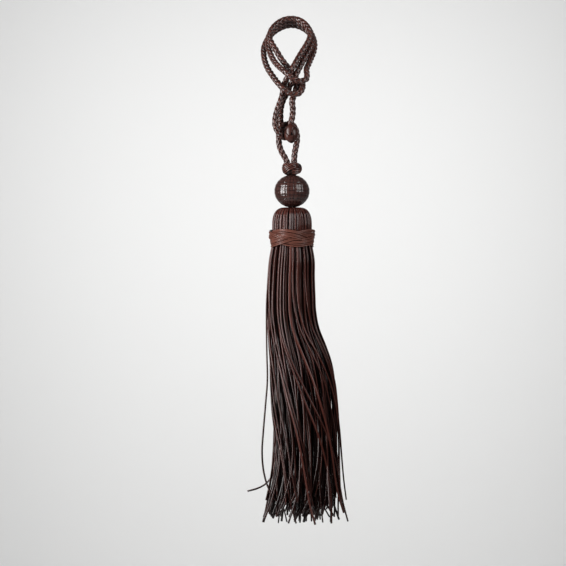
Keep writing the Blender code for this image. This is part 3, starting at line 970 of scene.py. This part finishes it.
# Two stray laces on the left. Columns: x, y, z.
STRAY_LACES = (
    (
        (-16.6, -24.0, -191.5),
        (-17.4, -24.0, -199.0),
        (-20.4, -24.0, -215.0),
        (-23.2, -24.0, -245.0),
        (-23.2, -24.0, -295.0),
        (-22.6, -24.5, -325.0),
        (-24.4, -25.0, -349.0),
        (-26.4, -25.0, -373.0),
        (-27.9, -25.0, -397.0),
        (-26.3, -25.5, -416.0),
        (-22.5, -28.0, -430.0),
        (-16.7, -31.0, -441.0),
        (-12.0, -32.5, -446.0),
    ),
    (
        (-16.0, -14.5, -191.5),
        (-16.8, -14.5, -199.0),
        (-20.0, -14.5, -215.0),
        (-22.6, -14.5, -245.0),
        (-20.6, -13.5, -285.0),
        (-17.0, -11.5, -325.0),
        (-14.5, -11.5, -357.0),
        (-13.5, -11.5, -386.0),
        (-15.0, -12.0, -406.0),
        (-18.5, -13.0, -422.0),
        (-24.4, -14.0, -429.5),
        (-33.0, -15.0, -434.0),
        (-42.6, -16.0, -436.5),
    ),
)

# Lie of a lace: where its twist starts and ends as shares of the skirt's depth, how it waves,
# how its tip curls out and how some tips are kicked to one side.
PATH_SEED = 11
LACE_JOINTS = 16
LACE_SPREAD = 0.36
LAYER_TURN = 40.0
SWIRL_START = (0.02, 0.34)
SWIRL_END = (0.74, 1.0)
WAVE = (0.2, 1.0)
WAVE_TURNS = (3.0, 8.0)
WAVE_WIDTH = 1.4
RIPPLE = 0.02
RIPPLE_TURNS = 9.0
CURL_POWER = 5.5
CURL_FACING = 0.45
CURL_OUT = (-0.95, 0.55)
CURL_LIMITS = (-0.8, 0.45)
CURL_DEEP = 0.4
KICK = (9.0, 27.0)
KICK_POWER = 8.0
KICKED = 0.6
KICKED_LEFT = 0.6
TIPS_LEFT = -27.0
TIPS_RIGHT = 58.0

# Half width, thickness, roll and painted shade of a lace. Layers past OUTER_SHARE are the outer
# piece.
OUTER_SHARE = 0.75
LACE_MARGIN = 0.95
OUTER_HALF = 1.0
INNER_HALF = 1.35
HALF_VARIES = (0.6, 1.25)
# Strays count as lying past the outermost layer: they go in the outer piece and are painted
# lighter than any layer.
STRAY_SHARE = 1.15
STRAY_HALF = 1.15
LACE_THICK = 0.85
LACE_TAPER = 0.12
LACE_SECTION = (8, 0.75)
PATH_STEPS = 8
LACE_STEP = 4.6
ROLL_EARLY = 0.6
ROLL_LATE = 1.6
LAYER_SHADE = 5.0
LOW_SHADE = 0.5
LACE_SEED = 31


def outline_at(z):
    """Centre and half sizes of the skirt at these heights."""
    table = np.array(SKIRT_OUTLINE)[::-1]
    return [np.interp(z, table[:, 0], table[:, column]) for column in range(1, 5)]


def swirl(drop, start, end):
    """Share of a lace's twist done by this share of the skirt's depth."""
    share = np.clip((drop - start) / (end - start), 0.0, 1.0)
    return share * share * (3.0 - 2.0 * share)


def lace_path(share, start, twist, tip_z, swing, chance):
    """Middle line of one lace, in its layer, with a wander and a curl of its own."""
    along = np.linspace(0.0, 1.0, LACE_JOINTS)
    z = LACE_ROOT + (tip_z - LACE_ROOT) * along
    drop = (LACE_ROOT - z) / (LACE_ROOT - TIP_LONGEST)
    centre_x, centre_y, half_x, half_y = outline_at(z)
    wander = chance.uniform(*WAVE) * np.sin(
        chance.uniform(0.0, math.tau) + chance.uniform(*WAVE_TURNS) * along
    )
    turned = swirl(drop, chance.uniform(*SWIRL_START), chance.uniform(*SWIRL_END))
    angle = np.radians(start + twist * turned) + WAVE_WIDTH * wander * drop / (share * half_x)
    ripple = np.sin(chance.uniform(0.0, math.tau) + RIPPLE_TURNS * along)
    reach = share * (1.0 + RIPPLE * ripple * along)
    line = np.column_stack([
        centre_x + (half_x - LACE_MARGIN) * reach * np.cos(angle),
        centre_y + (half_y - LACE_MARGIN) * reach * np.sin(angle),
        z,
    ])
    curl = swing * drop**CURL_POWER
    bent = CURL_FACING * math.cos(angle[-1]) + chance.uniform(*CURL_OUT)
    line[:, 0] += curl * min(max(bent, CURL_LIMITS[0]), CURL_LIMITS[1])
    line[:, 1] += CURL_DEEP * curl * math.sin(angle[-1])
    if swing and chance.random() < KICKED:
        kick = chance.uniform(*KICK) * (-1.0 if chance.random() < KICKED_LEFT else 1.0)
        tip = line[-1, 0]
        line[:, 0] += min(max(kick, TIPS_LEFT - tip), TIPS_RIGHT - tip) * drop**KICK_POWER
    return line


def lace_paths():
    """Every lace: the share of the half width that its layer has, its own half width, its line."""
    chance = random.Random(PATH_SEED)
    paths = []
    for share, count, twist, spread, swing in LACE_LAYERS:
        half = OUTER_HALF if share > OUTER_SHARE else INNER_HALF
        for number in range(count):
            place = number + chance.uniform(-LACE_SPREAD, LACE_SPREAD)
            start = 360.0 * place / count + LAYER_TURN * share
            turned = twist + chance.uniform(-spread, spread)
            tip_z = chance.uniform(TIP_LONGEST, TIP_SHORTEST)
            path = lace_path(share, start, turned, tip_z, swing * chance.uniform(0.0, 1.0), chance)
            paths.append((share, half * chance.uniform(*HALF_VARIES), path))
    paths.extend((STRAY_SHARE, STRAY_HALF, np.array(path)) for path in STRAY_LACES)
    return paths


def hanging_lace(strips, path, half_width, most, chance):
    """One lace as a flat strip that turns a little as it hangs. most is its lightest shade."""
    line = even_line(smooth_line(path, PATH_STEPS), LACE_STEP)
    ahead = unit(np.gradient(line, axis=0))
    share = np.linspace(0.0, 1.0, len(line))
    centre_x, centre_y = outline_at(line[:, 2])[:2]
    out = unit(np.column_stack([line[:, 0] - centre_x, line[:, 1] - centre_y, 0 * share]))
    early = chance.uniform(-ROLL_EARLY, ROLL_EARLY)
    late = chance.uniform(-ROLL_LATE, ROLL_LATE)
    roll = (early * share**0.3 + late * share)[:, None]
    side = unit(np.cross(out, ahead))
    up = unit(np.cross(ahead, side))
    turned_side = side * np.cos(roll) + up * np.sin(roll)
    turned_up = up * np.cos(roll) - side * np.sin(roll)
    width = half_width * (1.0 - LACE_TAPER * share)
    rings = strip_rings(line, turned_side, turned_up, width, LACE_THICK, LACE_SECTION)
    # Painted shade: a lace turned edge-on is darker, and each lace darkens towards its tip by
    # LOW_SHADE.
    _, high = section(LACE_SECTION)
    facing = np.clip(0.45 + 0.8 * np.cos(roll) * high, 0.0, 1.0)
    light = most * (1.0 - LOW_SHADE * share[:, None]) * facing
    strips.add(rings, chance.uniform(0.0, 1.0), shade=light)


def skirt():
    """The head, the laces inside the skirt and the laces outside it, as three pieces."""
    chance = random.Random(LACE_SEED)
    head = Strips()
    head_laces(head, chance)
    # The head's filling is painted fully shaded, dark between the laces.
    head.add(lathe_rings(HEAD_CORE), 0.0, shade=0.0)
    inner = Strips()
    outer = Strips()
    for share, half_width, path in lace_paths():
        strips = outer if share > OUTER_SHARE else inner
        # Painted shade: inner layers are darker, by share**LAYER_SHADE.
        hanging_lace(strips, path, half_width, share**LAYER_SHADE, chance)
    return [
        head.piece("head_laces", LACE_LEATHER),
        inner.piece("inner_laces", LACE_LEATHER),
        outer.piece("outer_laces", LACE_LEATHER),
    ]


for laces in skirt():
    finish_piece(laces, "skirt")
finish_piece(neck_band(), "neck_band")
